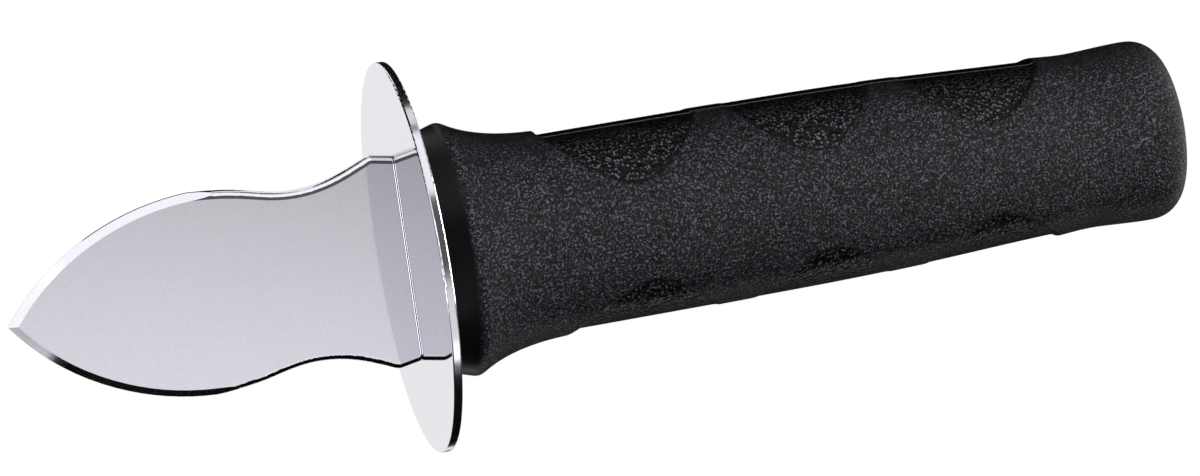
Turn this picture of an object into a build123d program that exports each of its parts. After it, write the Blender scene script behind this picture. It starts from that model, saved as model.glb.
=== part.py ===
from build123d import *
import math
import os

# Oyster knife with a round hand guard.
# Millimetres. +X runs along the knife from the tip to the butt, +Y across the blade's width,
# +Z square to the blade's flat face. The origin is the centre of the guard's front face.

# ---------- driving dimensions ----------
# blade
blade_reach = 53.7            # tip to guard
blade_thickness = 2.5
cutting_edge = 0.6            # thickness that the ground bevels leave at the rim
bevel_width = 1.0             # across the ground bevel, seen square to the flat
leaf_width = 27.2             # widest part of the leaf
leaf_back = 27.7              # widest part of the leaf, ahead of the guard
leaf_mid_half = 10.45         # half-width of the leaf half way between its tip and its widest part
tip_slope = 1.35              # half-width gained per millimetre at the very tip
grind_runout = 0.05           # outward slope at which the ground bevel leaves the rim behind the leaf
waist_width = 23.2
waist_back = 13.8
waist_mid_share = 0.58        # of the narrowing to the waist, still to come half way along it
shoulder_width = 29.0
shoulder_back = 3.2
shoulder_slope = 0.42         # half-width gained per millimetre where the waist meets the shoulder
shoulder_round = 1.6
seat_width = 27.8             # blade's width where it meets the guard
rim_round = 1.0               # rounding along the waist and shoulders
seat_round = 0.25             # rounding of the blade's rear end

# tang
tang_width = 18.0
tang_thickness = 2.0
tang_tail_width = 11.0
tang_step = 16.0              # full-width root, behind the guard's rear face
tang_round = 1.5              # corners of the tail and of the step
tang_hole = 5.5
tang_hole_inset = 9.0         # first hole's centre behind the step, last hole's ahead of the tail

# guard
guard_diameter = 52.4
guard_thickness = 1.2
guard_rim_round = 0.2
slot_clearance = 0.05         # each side, between tang and slot

# handle
handle_length = 105.2         # from the guard's rear face
collar_front_radius = 15.4
ridge_radius = 17.15
ridge_back = 5.7              # ridge's crest, behind the guard's rear face
ridge_round = 1.0
ridge_slope = 0.68            # radius lost per millimetre right behind the ridge
flare_radius = 14.8
flare_back = 11.1             # behind the guard's rear face
grip_slope = 0.04             # radius lost per millimetre where the flare runs into the grip
grip_front_radius = 13.84     # plain grip at the front end of the first patch
first_land_radius = 13.28     # between the first patch and the second
second_patch_radius = 13.17   # round the middle of the second patch
second_land_radius = 12.88    # between the second patch and the third
third_patch_radius = 12.5     # round the middle of the third patch
grip_rear_radius = 12.2       # at the rear end of the third patch
grip_waist_radius = 11.88     # thinnest part of the grip
grip_waist_ahead = 13.25      # ahead of the butt's end
swell_radius = 12.2           # swelling ahead of the butt
swell_ahead = 5.25            # swelling's crest, ahead of the butt's end
butt_crown = 0.9              # height of the domed end face
butt_round = 4.0              # rounding between the side and the end face
butt_cover = 33.0             # plastic between the tang's tail and the butt's end

# finger patches, three along each side of the knife
patches_back = 18.25          # front end of the first patch, behind the guard's rear face
patches_ahead = 18.15         # rear end of the third patch, ahead of the butt's end
patch_land = 4.6              # plain surface between two patches
first_patch_share = 0.356     # of the three patches' joint length
second_patch_share = 0.325
patch_reach = 59.0            # degrees that a patch wraps round, each side of the knife's edge line
front_step = 0.65             # depth of the first patch at its front end
first_land_step = 0.15        # depth of the patches either side of the first land
second_land_step = 0.12       # depth of the patches either side of the second land
rear_step = 0.44              # depth of the third patch at its rear end
floor_slope = 0.035           # radius that the patches' floor loses per millimetre at its rear end

near = 0.01                   # an edge or corner this close to a place is taken to be at it

# ---------- places worked out from them ----------
half_blade = blade_thickness / 2
leaf_half = leaf_width / 2
waist_half = waist_width / 2
shoulder_half = shoulder_width / 2
seat_half = seat_width / 2

guard_back = guard_thickness
handle_end = guard_back + handle_length
tang_root_end = guard_back + tang_step
tang_end = handle_end - butt_cover

ridge_x = guard_back + ridge_back
flare_x = guard_back + flare_back
grip_waist_x = handle_end - grip_waist_ahead
swell_x = handle_end - swell_ahead
patches_start = guard_back + patches_back
patches_end = handle_end - patches_ahead
patched_length = patches_end - patches_start - 2 * patch_land
first_land_x = patches_start + first_patch_share * patched_length + patch_land / 2      # middle
second_land_x = first_land_x + second_patch_share * patched_length + patch_land

# ---------- blade ----------
# The grinding wheel's two bevels bound the leaf. Behind the leaf they run out past the rim,
# so this solid is the leaf's shape in front and wider than the stamping behind.
tip = (-blade_reach, 0)
leaf_side = (-leaf_back, leaf_half)
leaf_middle = (-(blade_reach + leaf_back) / 2, leaf_mid_half)
runout_half = leaf_half + grind_runout * leaf_back
runout_x = tang_end + blade_thickness
bevel_height = half_blade - cutting_edge / 2

with BuildPart() as grind:
    with BuildSketch(Plane.XY):
        with BuildLine():
            Spline(tip, leaf_middle, leaf_side, tangents=[(1, tip_slope), (1, grind_runout)])
            Line(leaf_side, (0, runout_half))
            Line((0, runout_half), (runout_x, runout_half))
            Line((runout_x, runout_half), (runout_x, 0))
            mirror(about=Plane.XZ)
        make_face()
    extrude(amount=half_blade, both=True)
    for flat in grind.faces().filter_by(Axis.Z):
        rim = [edge for edge in flat.edges() if edge.center().X < runout_x]
        chamfer(rim, length=bevel_width, length2=bevel_height, reference=flat)

# The stamping: its sides are the blade's own behind the leaf, and stand wide of the ground
# leaf in front. The tang is struck thinner, so the blade seats on the guard all round.
blank_front = -blade_reach - blade_thickness
blank_front_half = leaf_half - grind_runout * (leaf_back + blank_front)
waist_mid_half = waist_half + waist_mid_share * (leaf_half - waist_half)
waist_middle = (-(leaf_back + waist_back) / 2, waist_mid_half)
waist = (-waist_back, waist_half)
shoulder = (-shoulder_back, shoulder_half)
seat = (0, seat_half)

with BuildPart() as blade:
    with BuildSketch(Plane.XY) as blank:
        with BuildLine():
            Line((blank_front, 0), (blank_front, blank_front_half))
            Line((blank_front, blank_front_half), leaf_side)
            Spline(leaf_side, waist_middle, waist, tangents=[(1, -grind_runout), (1, 0)])
            Spline(waist, shoulder, tangents=[(1, 0), (1, shoulder_slope)])
            Line(shoulder, seat)
            Line(seat, (0, 0))
            mirror(about=Plane.XZ)
        make_face()
        corners = blank.vertices().filter_by_position(Axis.X, -shoulder_back - near, -shoulder_back + near)
        fillet(corners, shoulder_round)
    extrude(amount=half_blade, both=True)
    sides = [edge for edge in blade.faces().filter_by(Axis.Z).edges() if edge.center().X > -leaf_back]
    fillet([edge for edge in sides if edge.center().X < 0], rim_round)
    fillet(blade.faces().sort_by(Axis.X)[-1].edges(), seat_round)
    add(grind.part, mode=Mode.INTERSECT)
    with BuildSketch(Plane.XY) as tang:
        with BuildLine():
            Line((-tang_round, 0), (-tang_round, tang_width / 2))
            Line((-tang_round, tang_width / 2), (tang_root_end, tang_width / 2))
            Line((tang_root_end, tang_width / 2), (tang_root_end, tang_tail_width / 2))
            Line((tang_root_end, tang_tail_width / 2), (tang_end, tang_tail_width / 2))
            Line((tang_end, tang_tail_width / 2), (tang_end, 0))
            mirror(about=Plane.XZ)
        make_face()
        stepped = tang.vertices().filter_by_position(Axis.X, tang_root_end - near, tang_end + near)
        fillet(stepped, tang_round)
        with Locations((tang_root_end + tang_hole_inset, 0), (tang_end - tang_hole_inset, 0)):
            Circle(tang_hole / 2, mode=Mode.SUBTRACT)
    extrude(amount=tang_thickness / 2, both=True)

# ---------- guard ----------
with BuildPart() as guard:
    with BuildSketch(Plane.YZ):
        Circle(guard_diameter / 2)
    extrude(amount=guard_thickness)
    fillet(guard.edges().filter_by(GeomType.CIRCLE), guard_rim_round)
    with BuildSketch(Plane.YZ):
        Rectangle(tang_width + 2 * slot_clearance, tang_thickness + 2 * slot_clearance)
    extrude(amount=guard_thickness, mode=Mode.SUBTRACT)

# ---------- handle ----------
# Three finger patches are sunk along each side of the knife. Each is bounded by an ellipse seen
# along Y. Their floors belong to one turned form, drawn through its depths below the plain grip.
half_land = patch_land / 2
patch_spans = (
    (patches_start, first_land_x - half_land, grip_front_radius, first_land_radius),
    (first_land_x + half_land, second_land_x - half_land, first_land_radius, second_land_radius),
    (second_land_x + half_land, patches_end, second_land_radius, grip_rear_radius),
)
floor_front = (patches_start, grip_front_radius - front_step)
floor_rear = (patches_end, grip_rear_radius - rear_step)
floor_knots = (
    floor_front,
    (first_land_x, first_land_radius - first_land_step),
    (second_land_x, second_land_radius - second_land_step),
    floor_rear,
)
form_front = (patches_start - patch_land, floor_front[1])
form_rear = (patches_end + patch_land, floor_rear[1] - floor_slope * patch_land)

with BuildPart() as patches:
    for front, rear, front_radius, rear_radius in patch_spans:
        half_across = (front_radius + rear_radius) / 2 * math.sin(math.radians(patch_reach))
        with BuildSketch(Plane.XZ):
            with Locations(((front + rear) / 2, 0)):
                Ellipse((rear - front) / 2, half_across)
        extrude(amount=ridge_radius, both=True)
    with BuildSketch(Plane.XY):
        with BuildLine():
            Line((form_front[0], 0), form_front)
            Line(form_front, floor_front)
            Spline(*floor_knots, tangents=[(1, 0), (1, -floor_slope)])
            Line(floor_rear, form_rear)
            Line(form_rear, (form_rear[0], 0))
            Line((form_rear[0], 0), (form_front[0], 0))
        make_face()
    revolve(axis=Axis.X, mode=Mode.SUBTRACT)

grip_front = (patches_start, grip_front_radius)
grip_waist = (grip_waist_x, grip_waist_radius)
grip_knots = (
    grip_front,
    (first_land_x, first_land_radius),
    ((first_land_x + second_land_x) / 2, second_patch_radius),
    (second_land_x, second_land_radius),
    ((second_land_x + half_land + patches_end) / 2, third_patch_radius),
    (patches_end, grip_rear_radius),
    grip_waist,
)
butt_rim = (handle_end - butt_crown, swell_radius)
crown_radius = (swell_radius**2 + butt_crown**2) / (2 * butt_crown)

with BuildPart() as handle:
    with BuildSketch(Plane.XY):
        with BuildLine():
            Line((guard_back, 0), (guard_back, collar_front_radius))
            Line((guard_back, collar_front_radius), (ridge_x, ridge_radius))
            Spline(
                (ridge_x, ridge_radius),
                (flare_x, flare_radius),
                grip_front,
                tangents=[(1, -ridge_slope), (1, -grip_slope)],
            )
            Spline(*grip_knots, tangents=[(1, -grip_slope), (1, 0)])
            Spline(grip_waist, (swell_x, swell_radius), tangents=[(1, 0), (1, 0)])
            Line((swell_x, swell_radius), butt_rim)
            RadiusArc(butt_rim, (handle_end, 0), crown_radius)
            Line((handle_end, 0), (guard_back, 0))
        make_face()
    revolve(axis=Axis.X)
    for rim_x, rounding in ((ridge_x, ridge_round), (butt_rim[0], butt_round)):
        circles = handle.edges().filter_by(GeomType.CIRCLE)
        fillet(circles.filter_by_position(Axis.X, rim_x - near, rim_x + near), rounding)
    add(patches.part, mode=Mode.SUBTRACT)
    add(blade.part, mode=Mode.SUBTRACT)

# ---------- write the pieces ----------
os.makedirs("parts", exist_ok=True)
blade.part.label = "blade"
guard.part.label = "guard"
handle.part.label = "handle"
export_step(blade.part, "parts/blade.step")
export_step(guard.part, "parts/guard.step")
export_step(handle.part, "parts/handle.step")
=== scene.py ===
import math

import bpy
from mathutils import Matrix, Vector


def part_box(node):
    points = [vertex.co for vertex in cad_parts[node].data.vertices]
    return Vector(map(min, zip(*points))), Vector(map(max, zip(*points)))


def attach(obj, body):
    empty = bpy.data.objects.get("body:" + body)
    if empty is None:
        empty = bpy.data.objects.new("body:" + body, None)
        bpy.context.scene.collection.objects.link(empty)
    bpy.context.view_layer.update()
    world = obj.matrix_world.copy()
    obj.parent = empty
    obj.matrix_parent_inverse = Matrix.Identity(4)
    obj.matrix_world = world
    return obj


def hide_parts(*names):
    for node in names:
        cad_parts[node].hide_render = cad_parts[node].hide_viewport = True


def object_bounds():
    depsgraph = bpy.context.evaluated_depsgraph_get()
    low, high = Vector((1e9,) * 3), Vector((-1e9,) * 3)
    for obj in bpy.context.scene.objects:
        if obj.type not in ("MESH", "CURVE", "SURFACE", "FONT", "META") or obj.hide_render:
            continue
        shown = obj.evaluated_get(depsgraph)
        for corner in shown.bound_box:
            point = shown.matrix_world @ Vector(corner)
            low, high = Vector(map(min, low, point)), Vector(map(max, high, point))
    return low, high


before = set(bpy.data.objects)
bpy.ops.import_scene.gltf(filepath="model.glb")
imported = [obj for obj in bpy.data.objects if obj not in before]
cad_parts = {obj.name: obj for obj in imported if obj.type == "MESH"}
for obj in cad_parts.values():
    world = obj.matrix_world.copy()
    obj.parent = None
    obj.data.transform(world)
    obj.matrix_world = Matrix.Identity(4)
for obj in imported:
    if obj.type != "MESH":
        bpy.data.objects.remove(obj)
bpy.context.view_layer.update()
mm = 0.001

# ---------- blade ----------
# A leaf stamped from stainless sheet and polished bright, with a bevel ground along both sides
# of the leaf on both faces. Its tang runs through the guard into the handle.


class Wire:
    """One output in a node tree. Sums on wires and numbers add the Math nodes for them."""

    def __init__(self, maker, socket):
        self.maker = maker
        self.socket = socket

    def __add__(self, other):
        return self.maker.maths("ADD", self, other)

    def __radd__(self, other):
        return self.maker.maths("ADD", other, self)

    def __sub__(self, other):
        return self.maker.maths("SUBTRACT", self, other)

    def __rsub__(self, other):
        return self.maker.maths("SUBTRACT", other, self)

    def __mul__(self, other):
        return self.maker.maths("MULTIPLY", self, other)

    def __rmul__(self, other):
        return self.maker.maths("MULTIPLY", other, self)

    def __gt__(self, other):
        return self.maker.maths("GREATER_THAN", self, other)

    def __lt__(self, other):
        return self.maker.maths("LESS_THAN", self, other)

    def __abs__(self):
        return self.maker.maths("ABSOLUTE", self)

    def ramp(self, low, high):
        """0 below low, 1 above high; high may be the smaller of the two, which turns it round."""
        ends = {"Value": self, "From Min": low, "From Max": high}
        return self.maker.node("ShaderNodeMapRange", {"interpolation_type": "SMOOTHSTEP"}, ends)


class Maker:
    """Adds nodes to a tree, each from its type, its settings and the values of its sockets."""

    def __init__(self, tree):
        self.tree = tree

    def fill(self, node, values):
        """Sets a node's sockets: a wire is linked to its socket, anything else is its value."""
        for name, value in values.items():
            if isinstance(value, Wire):
                self.tree.links.new(value.socket, node.inputs[name])
            else:
                node.inputs[name].default_value = value

    def node(self, kind, settings, values, output=0):
        made = self.tree.nodes.new(kind)
        for name, value in settings.items():
            setattr(made, name, value)
        self.fill(made, values)
        return Wire(self, made.outputs[output])

    def maths(self, operation, *values):
        return self.node("ShaderNodeMath", {"operation": operation}, dict(enumerate(values)))

    def vector(self, operation, first, second, output=0):
        return self.node("ShaderNodeVectorMath", {"operation": operation}, {0: first, 1: second}, output)

    def join(self, x, y, z):
        return self.node("ShaderNodeCombineXYZ", {}, {"X": x, "Y": y, "Z": z})

    def part(self, vector, letter):
        return self.node("ShaderNodeSeparateXYZ", {}, {"Vector": vector}, letter)


class Finish(Maker):
    """A material that is built up node by node in front of one Principled shader."""

    def __init__(self, name, **plain):
        self.material = bpy.data.materials.new(name)
        self.material.use_nodes = True
        super().__init__(self.material.node_tree)
        self.shader = self.tree.nodes["Principled BSDF"]
        self.shade(**plain)

    def shade(self, **values):
        """Sets the shader's sockets, each named with underscores in place of its spaces."""
        self.fill(self.shader, {name.replace("_", " "): value for name, value in values.items()})

    def place(self, output="Object"):
        return self.node("ShaderNodeTexCoord", {}, {}, output)

    def noise(self, place, size, detail=2.0, roughness=0.5, output=0):
        """Cloudy noise from 0 to 1; size is the width of its clouds, in metres."""
        values = {"Vector": place, "Scale": 1 / size, "Detail": detail, "Roughness": roughness}
        return self.node("ShaderNodeTexNoise", {}, values, output)

    def colours(self, share, first, second):
        """Runs from the first colour to the second as share goes from 0 to 1."""
        values = {0: share, 6: (*first, 1), 7: (*second, 1)}
        return self.node("ShaderNodeMix", {"data_type": "RGBA"}, values, 2)

    def bump(self, height, depth):
        """Tilts the surface as if height, from 0 to 1, stood depth metres proud."""
        values = {"Height": height, "Distance": depth, "Strength": 1.0}
        self.shade(Normal=self.node("ShaderNodeBump", {}, values))


bright_steel = (0.735, 0.73, 0.795)
dulled_steel = (0.665, 0.66, 0.72)
steel_fleck = 0.2 * mm        # size of the specks in which the polish is duller
blade_haze = 9 * mm           # and of the wide clouds over them
rolling_line = 0.12 * mm      # width of the faint lines left by rolling the sheet
rolling_reach = 25.0          # a line is this many times longer than wide
rolling_height = 0.04         # as a share of the grinding marks' height
ground_line = 0.25 * mm       # width of the marks that the grinding wheel leaves
ground_height = 0.004 * mm
leaf_end = -20 * mm           # no marks behind here, where the waist begins,
leaf_ground = -28 * mm        # and full marks from here to the tip
steepest_ground = 0.50        # the ground bevels' tilt, which is 1 on the flat and 0 on the rim,
flattest_ground = 0.90        # lies between these two
tilt_fade = 0.05

blade_finish = Finish("blade_steel", Metallic=1.0)
spot = blade_finish.place()
facing = blade_finish.place("Normal")
stretched = blade_finish.vector("MULTIPLY", spot, (1 / rolling_reach, 1, 1))
lines = blade_finish.noise(stretched, rolling_line, detail=3.0)
haze = blade_finish.noise(spot, blade_haze, detail=3.0)
fleck = blade_finish.noise(spot, steel_fleck, detail=1.0)

# The wheel's marks run straight down each bevel, so they change only along the edge.
across = blade_finish.vector("CROSS_PRODUCT", (0, 0, 1), facing)
along = blade_finish.vector("NORMALIZE", across, (0, 0, 0))
mark_place = blade_finish.vector("DOT_PRODUCT", spot, along, "Value")
marks = blade_finish.node(
    "ShaderNodeTexNoise",
    {"noise_dimensions": "1D"},
    {"W": mark_place, "Scale": 1 / ground_line, "Detail": 3.0, "Roughness": 0.65},
)
tilt = abs(blade_finish.part(facing, "Z"))
off_flat = tilt.ramp(flattest_ground, flattest_ground - tilt_fade)
off_rim = tilt.ramp(steepest_ground, steepest_ground + tilt_fade)
on_leaf = blade_finish.part(spot, "X").ramp(leaf_end, leaf_ground)
ground = off_flat * off_rim * on_leaf
on_flat = tilt.ramp(0.97, 0.995)

blade_finish.shade(
    Base_Color=blade_finish.colours(0.3 * haze + 0.7 * fleck.ramp(0.3, 0.7), bright_steel, dulled_steel),
    Roughness=0.035 + 0.02 * haze + 0.22 * ground * marks,
)
blade_finish.bump(on_flat * rolling_height * lines + ground * marks, ground_height)
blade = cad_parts["blade"]
blade.data.materials.clear()
blade.data.materials.append(blade_finish.material)

# ---------- guard ----------
# A round plate of stainless sheet, blanked, rounded at its rim and polished to a mirror, pushed
# over the tang against the handle's collar.
plate_steel = (0.67, 0.665, 0.715)
worn_plate = (0.61, 0.605, 0.65)
plate_haze = 7 * mm
scratch = 0.15 * mm           # width of a scratch left by polishing
scratch_reach = 18            # a scratch is this many times longer than wide
scratch_depth = 0.0003 * mm

guard_finish = Finish("guard_steel", Metallic=1.0)
spot = guard_finish.place()
haze = guard_finish.noise(spot, plate_haze, detail=3.0)
fleck = guard_finish.noise(spot, steel_fleck, detail=1.0)
scratch_place = guard_finish.vector("MULTIPLY", spot, (1, 1, 1 / scratch_reach))
scratches = guard_finish.noise(scratch_place, scratch, detail=2.0)
rim = abs(guard_finish.part(guard_finish.place("Normal"), "X")).ramp(0.6, 0.4)
guard_finish.shade(
    Base_Color=guard_finish.colours(0.4 * haze + 0.6 * fleck.ramp(0.3, 0.7), plate_steel, worn_plate),
    Roughness=0.03 + 0.03 * haze + 0.11 * rim,
)
guard_finish.bump(scratches * (1 - rim), scratch_depth)
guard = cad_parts["guard"]
guard.data.materials.clear()
guard.data.materials.append(guard_finish.material)

# ---------- handle ----------
# Black plastic moulded round the tang. A smooth collar meets the guard; behind its ridge the skin
# is grained, with a coarser pebble grain in the six sunk finger patches. The two halves of the
# mould leave a narrow smooth band along the patches.
rounds = 256                  # facets round the handle
rings = 300                   # along its side
dome_rings = 42               # over its rounded end
dome_reach = 12 * mm          # the rings fan out over the end from this far inside it
outside = 40 * mm             # where the measuring rays start
off_face = 0.02 * mm          # they run this far behind their ring, so none runs along the front face
collar_share = 0.1            # the share of the length, at the front, that has no patch
shallow = 0.03 * mm           # skin this far below the plain grip begins to count as a patch
sunken = 0.07 * mm            # and from here on it is one
band_half = 1.5 * mm          # half-width of the smooth band
band_height = 0.05 * mm       # how far it stands proud of the patches' floors

grip_low, grip_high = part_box("handle")


class Moulding(Maker):
    """A geometry tree with its sizes as named inputs."""

    def __init__(self, name, inputs):
        super().__init__(bpy.data.node_groups.new(name, "GeometryNodeTree"))
        self.tree.interface.new_socket("Geometry", in_out="OUTPUT", socket_type="NodeSocketGeometry")
        self.given = {}
        for label, (kind, value) in inputs.items():
            socket = self.tree.interface.new_socket(label, in_out="INPUT", socket_type=kind)
            self.given[socket.identifier] = value
        self.entry = self.tree.nodes.new("NodeGroupInput")

    def input(self, label):
        return Wire(self, self.entry.outputs[label])

    def finish(self, name, geometry):
        """Runs the tree on an empty object and leaves its result there as a plain mesh."""
        self.fill(self.tree.nodes.new("NodeGroupOutput"), {"Geometry": geometry})
        made = bpy.data.objects.new(name, bpy.data.meshes.new(name))
        bpy.context.scene.collection.objects.link(made)
        modifier = made.modifiers.new(name, "NODES")
        modifier.node_group = self.tree
        for identifier, value in self.given.items():
            modifier[identifier] = value
        graph = bpy.context.evaluated_depsgraph_get()
        mesh = bpy.data.meshes.new_from_object(made.evaluated_get(graph), depsgraph=graph)
        made.modifiers.clear()
        made.data = mesh
        return made


handle_finish = Finish("handle_plastic")
length = "NodeSocketFloat"
count = "NodeSocketInt"
sizes = {
    "Solid": ("NodeSocketObject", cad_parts["handle"]),
    "Rounds": (count, rounds),
    "Rings": (count, rings),
    "Dome rings": (count, dome_rings),
    "Front": (length, grip_low[0]),
    "Fan": (length, grip_high[0] - dome_reach),
    "Shallow": (length, shallow),
    "Sunken": (length, sunken),
    "Band half": (length, band_half),
    "Band height": (length, band_height),
    "Finish": ("NodeSocketMaterial", handle_finish.material),
}
tree = Moulding("moulded_grip", sizes)

# The grip starts as a drum of unit height and radius. Its side becomes the grip's side and its
# upper end the dome.
drum_sizes = {
    "Vertices": tree.input("Rounds"),
    "Side Segments": tree.input("Rings"),
    "Fill Segments": tree.input("Dome rings"),
    "Radius": 1.0,
    "Depth": 1.0,
}
drum = tree.node("GeometryNodeMeshCylinder", {"fill_type": "TRIANGLE_FAN"}, drum_sizes)
start = tree.node("GeometryNodeInputPosition", {}, {})
flat_start = tree.vector("MULTIPLY", start, (1, 1, 0))
reach = tree.vector("LENGTH", flat_start, (0, 0, 0), "Value")
sideways = tree.vector("NORMALIZE", flat_start, (0, 0, 0))
share = tree.part(start, "Z") + 0.5
on_dome = share > 0.9999
on_front = share < 0.0001
rise = (1 - reach) * on_dome * (math.pi / 2)
forward = tree.maths("SINE", rise)
outward = tree.maths("COSINE", rise)
centre_x = tree.input("Front") + share * (tree.input("Fan") - tree.input("Front"))
centre = tree.join(centre_x, 0.0, 0.0)
solid = tree.node("GeometryNodeObjectInfo", {}, {"Object": tree.input("Solid")}, "Geometry")


def measured(direction):
    """How far the CAD handle's skin is from the centre, seen from outside along direction."""
    far = tree.vector("MULTIPLY", direction, (outside, outside, outside))
    back = tree.vector("MULTIPLY", direction, (-1, -1, -1))
    values = {
        "Target Geometry": solid,
        "Source Position": tree.vector("ADD", tree.vector("ADD", centre, (off_face, 0, 0)), far),
        "Ray Direction": back,
        "Ray Length": outside,
    }
    return outside - tree.node("GeometryNodeRaycast", {}, values, "Hit Distance")


def softened(value, times):
    """Evens out a value between neighbouring corners, the given number of times."""
    return tree.node("GeometryNodeBlurAttribute", {}, {0: value, "Iterations": times})


# The plain grip is turned, so it is measured once a ring, on the broad face. So is the patches'
# floor, on the edge line. A corner belongs to a patch where its own skin is below the plain grip.
aim = tree.join(forward, outward * tree.part(sideways, "X"), outward * tree.part(sideways, "Y"))
plain = softened(measured(tree.join(forward, 0.0, outward)), 2)
lowered = plain - measured(tree.join(forward, outward, 0.0))
below_plain = (plain - measured(aim)).ramp(tree.input("Shallow"), tree.input("Sunken"))
sunk = below_plain * (share > collar_share)
stored = tree.node(
    "GeometryNodeStoreNamedAttribute", {"data_type": "FLOAT", "domain": "POINT"},
    {"Geometry": drum, "Name": "patch", "Value": softened(sunk, 1)},
)
off_parting = abs(plain * tree.part(aim, "Z"))
band = off_parting.ramp(tree.input("Band half"), tree.input("Band half") * 0.85)
patch = tree.node("GeometryNodeInputNamedAttribute", {"data_type": "FLOAT"}, {"Name": "patch"})
radius = plain - patch * (lowered - band * tree.input("Band height"))
across_front = 1 - on_front * (1 - reach)
skin = tree.join(
    centre_x + radius * tree.part(aim, "X"),
    radius * tree.part(aim, "Y") * across_front,
    radius * tree.part(aim, "Z") * across_front,
)
shaped = tree.node("GeometryNodeSetPosition", {}, {"Geometry": stored, "Position": skin})
smooth = tree.node("GeometryNodeSetShadeSmooth", {}, {"Geometry": shaped, "Shade Smooth": True})
real = tree.node("GeometryNodeRealizeInstances", {}, {"Geometry": smooth})
coated = tree.node("GeometryNodeSetMaterial", {}, {"Geometry": real, "Material": tree.input("Finish")})
grip = tree.finish("handle_grip", coated)

black_plastic = (0.0020, 0.0019, 0.0025)
# The grey of the painted glints and the painted highlight line on the black plastic.
painted_glint_grey = (0.315, 0.303, 0.380)
worn_cloud = 14 * mm          # size of the areas that handling has dulled
plain_grain = 0.28 * mm
grain_top = 0.30 * mm         # size of the painted glint specks on the plain grain
pebble = 0.55 * mm
pebble_narrowing = 1.3        # pebbles are this many times longer across the knife than along it
stir_cloud = 1.1 * mm         # the rows of pebbles are stirred in clouds of this size,
stir_reach = 0.5 * mm         # by up to half of this each way
grain_height = 0.40 * mm
grain_start = 7.2 * mm        # behind the guard's front face; the collar ahead of this is smooth
grain_fade = 1.5 * mm
band_front = 20.0 * mm        # the band runs from here
band_back = 87.5 * mm         # to here, along the patches
band_fade = 1.0 * mm
shaded_near_line = 2.5 * mm      # painted shade: the painted glints are dimmest this near the parting line, and brightest this far from it, on the broad faces
lit_off_line = 9.5 * mm       # and most this far from it, on the broad faces

spot = handle_finish.place()
along_knife = handle_finish.part(spot, "X")
off_line = abs(handle_finish.part(spot, "Z"))
sunk_here = handle_finish.node("ShaderNodeAttribute", {"attribute_name": "patch"}, {}, "Fac")
patch = sunk_here.ramp(0.3, 0.7)
# Each patch's border: a groove in the bump, and in the colour a painted groove shadow.
border = sunk_here.ramp(0.02, 0.25) * sunk_here.ramp(0.98, 0.6)
grain = handle_finish.noise(spot, plain_grain, detail=2.0, roughness=0.55)

cloud = handle_finish.noise(spot, stir_cloud, detail=1.0, output="Color")
centred = handle_finish.vector("SUBTRACT", cloud, (0.5, 0.5, 0.5))
shift = handle_finish.vector("MULTIPLY", centred, (stir_reach, stir_reach, stir_reach))
stirred = handle_finish.vector("ADD", spot, shift)
narrowed = handle_finish.vector("MULTIPLY", stirred, (pebble_narrowing, 1, 1))
pebbles = handle_finish.node(
    "ShaderNodeTexVoronoi", {"feature": "F1"}, {"Vector": narrowed, "Scale": 1 / pebble}
)

band_starts = along_knife.ramp(band_front - band_fade, band_front)
band_stops = along_knife.ramp(band_back + band_fade, band_back)
by_patches = band_starts * band_stops
on_band = off_line.ramp(band_half + 0.05 * mm, band_half - 0.05 * mm) * by_patches
# The band's edge carries a painted highlight line in the colour.
band_rise = off_line.ramp(band_half - 0.10 * mm, band_half + 0.05 * mm)
band_fall = off_line.ramp(band_half + 0.35 * mm, band_half + 0.15 * mm)
band_edge = band_rise * band_fall * by_patches
grained = along_knife.ramp(grain_start - grain_fade, grain_start) * (1 - on_band)
skin = grained * (grain * (1 - patch) + 0.75 * (1 - pebbles) * patch) + 0.9 * on_band - 0.25 * border

worn = handle_finish.noise(spot, worn_cloud, detail=3.0)
# Painted glints: light specks on the plain grain and on the pebbles' tops.
speck = handle_finish.noise(spot, grain_top, detail=2.0, roughness=0.6).ramp(0.50, 0.70)
tops = (1 - pebbles).ramp(0.60, 0.85)
# Painted shade: the glints dim towards the parting line and are full on the broad faces.
painted_face_light = off_line.ramp(shaded_near_line, lit_off_line)
peaks = speck * (1 - patch) * (0.35 + 0.65 * painted_face_light) + 1.2 * tops * patch * painted_face_light
# All the painted light on the plastic: the painted glints, darkened by the painted groove shadow, and the
# painted highlight line along the band.
painted_glints = grained * (1 - 0.7 * border) * peaks + 0.9 * band_edge
handle_finish.shade(
    Base_Color=handle_finish.colours(painted_glints, black_plastic, painted_glint_grey),
    Roughness=0.28 + 0.10 * worn + 0.08 * grained - 0.10 * patch,
    Specular_IOR_Level=0.14,
)
handle_finish.bump(skin, grain_height)
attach(grip, "root")
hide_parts("handle")

# ---------- floor and light ----------
# The knife lies over a pale sheet lit from beneath. The blade's flat mirrors a soft round glow on
# the ceiling, and the bevels, rounded rims and the fillet beside the guard mirror softboxes all
# round. Black cards draw the dark edges of bright steel.
floor_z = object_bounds()[0][2]
white = (1, 1, 1, 1)


def sheet(name, corner_a, corner_b, finish):
    """A flat rectangle between two opposite corners, square to one of the axes."""
    (ax, ay, az), (bx, by, bz) = corner_a, corner_b
    if az == bz:
        corners = [(ax, ay, az), (bx, ay, az), (bx, by, az), (ax, by, az)]
    else:
        corners = [(ax, ay, az), (bx, ay, az), (bx, by, bz), (ax, by, bz)]
    mesh = bpy.data.meshes.new(name)
    mesh.from_pydata(corners, [], [(0, 1, 2, 3)])
    mesh.materials.append(finish.material)
    made = bpy.data.objects.new(name, mesh)
    bpy.context.scene.collection.objects.link(made)
    return made


floor_finish = Finish("floor_sheet", Roughness=0.9, Base_Color=(0.06, 0.06, 0.06, 1))
floor_finish.shade(Emission_Color=white, Emission_Strength=0.98)
sheet("floor", (-4, -4, floor_z), (4, 4, floor_z), floor_finish)

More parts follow.
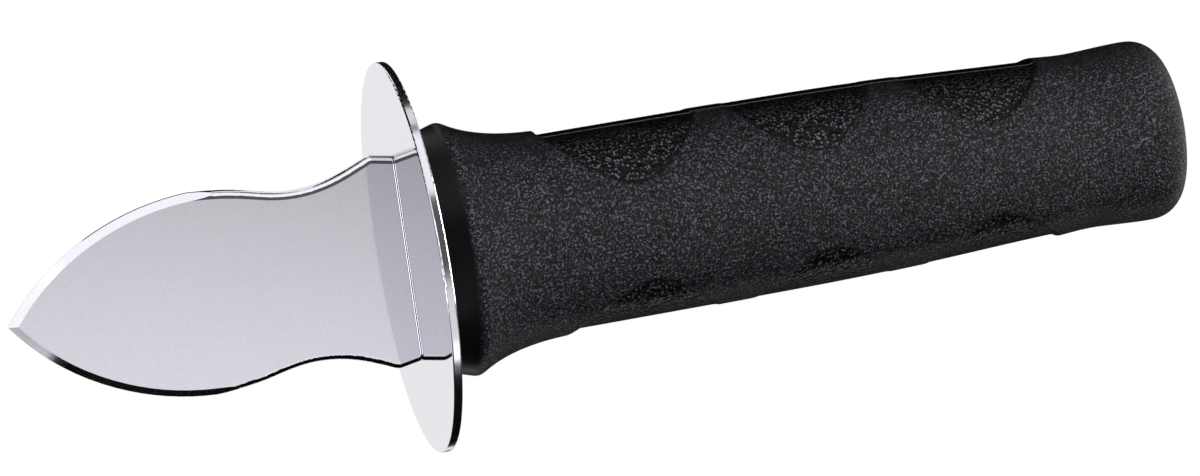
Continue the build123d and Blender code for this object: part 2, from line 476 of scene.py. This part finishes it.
# Two cards lie on the floor, under the handle and beyond the blade's upper edge, and one stands
# along the knife's lower side. The camera doesn't see them, only the steel's reflections show them.
card_finish = Finish("black_card", Roughness=1.0, Base_Color=(0.004, 0.004, 0.004, 1))
card_finish.shade(Specular_IOR_Level=0.0)
card_z = floor_z + 0.5 * mm
cards = [
    sheet("card_behind", (0.0025, -0.040, card_z), (0.13, 0.17, card_z), card_finish),
    sheet("card_beside", (-0.07, 0.0145, card_z), (-0.012, 0.17, card_z), card_finish),
    sheet("card_below", (-0.075, -0.05, floor_z), (0.16, -0.05, 0.040), card_finish),
]
for card in cards:
    card.visible_camera = False
    card.visible_shadow = False

ceiling_z = 0.6
ceiling_half = 0.6
glow_centre = (-0.004, -0.356, ceiling_z)
glow_core = 0.22              # the glow is full out to this radius
glow_end = 0.39               # and gone at this one
glow_finish = Finish("ceiling_glow", Base_Color=(0, 0, 0, 1), Roughness=1.0, Specular_IOR_Level=0.0)
glow_finish.shade(Emission_Color=white, Emission_Strength=1.0)
from_glow = glow_finish.vector("DISTANCE", glow_finish.place(), glow_centre, "Value")
glow_finish.shade(Alpha=from_glow.ramp(glow_end, glow_core))
ceiling_low = (-ceiling_half, -ceiling_half, ceiling_z)
ceiling = sheet("ceiling", ceiling_low, (ceiling_half, ceiling_half, ceiling_z), glow_finish)
ceiling.visible_camera = False
ceiling.visible_diffuse = False

guard_middle = (0, 0, 0)
grip_front = (0.06, 0, 0)


def softbox(name, place, aim, wide, tall, power, mirrored=True, lights=False):
    """A soft rectangular lamp facing aim, there to be mirrored, to light dull surfaces, or for both."""
    lamp = bpy.data.lights.new(name, "AREA")
    lamp.shape = "RECTANGLE"
    lamp.size = wide
    lamp.size_y = tall
    lamp.energy = power
    made = bpy.data.objects.new(name, lamp)
    bpy.context.scene.collection.objects.link(made)
    back = (Vector(place) - Vector(aim)).normalized()
    made.rotation_euler = back.to_track_quat("Z", "Y").to_euler()
    made.location = place
    made.visible_camera = False
    made.visible_glossy = mirrored
    made.visible_diffuse = lights


# Each is named for where it stands. All but the last two are only there to be mirrored.
softbox("beyond_butt", (0.75, 0.0, 0.30), (0.05, 0, 0), 0.5, 0.4, 10.0)
softbox("beyond_edge", (0.0, 0.64, 0.32), guard_middle, 1.2, 0.55, 2.5)
softbox("beyond_point", (-0.62, 0.44, 0.24), guard_middle, 0.42, 0.40, 0.65)
softbox("below_point", (-0.50, -0.62, 0.08), guard_middle, 0.50, 0.18, 0.11)
softbox("beyond_tip", (-0.7, 0.0, 0.12), guard_middle, 0.5, 0.16, 1.0)
softbox("over_tip", (-0.82, -0.17, 0.46), guard_middle, 0.24, 0.48, 1.6)
softbox("over_low_edge", (0.19, -0.69, 0.70), guard_middle, 0.45, 0.40, 1.1)
softbox("far_corner", (0.55, 0.55, 0.28), guard_middle, 0.45, 0.45, 0.35)
softbox("near_corner", (0.55, -0.55, 0.28), guard_middle, 0.45, 0.45, 0.35)
softbox("work_light", (-0.06, 0.30, 0.94), grip_front, 0.34, 0.34, 2.2, mirrored=False, lights=True)
softbox("glint", (-0.05, -0.50, 0.86), grip_front, 0.34, 0.34, 1.8, lights=True)

surroundings = 0.12           # brightness of the studio all round
world = bpy.data.worlds.new("studio")
world.use_nodes = True
background = world.node_tree.nodes["Background"].inputs
background["Color"].default_value = white
background["Strength"].default_value = surroundings
bpy.context.scene.world = world
bpy.context.scene.view_settings.view_transform = "Standard"

# ---------- camera ----------
# It looks down on the blade's flat face, from a little towards the tip and the upper edge. The
# knife lies askew in its picture, with the tip lower than the butt.
photo_width = 1200
turn, tip_back, roll = 0.19692, 0.16595, 0.14022      # in radians
across, up, away_from = 25.657 * mm, 2.655 * mm, 889.65 * mm
focal_pixels = 6714           # focal length, in pixels of the photo

camera_data = bpy.data.cameras.new("camera")
camera = bpy.data.objects.new("camera", camera_data)
bpy.context.scene.collection.objects.link(camera)
turned = Matrix.Rotation(roll, 4, "Z") @ Matrix.Rotation(tip_back, 4, "X") @ Matrix.Rotation(turn, 4, "Y")
camera.matrix_world = turned.inverted() @ Matrix.Translation((across, up, away_from))
camera_data.lens = camera_data.sensor_width * focal_pixels / photo_width
bpy.context.scene.camera = camera
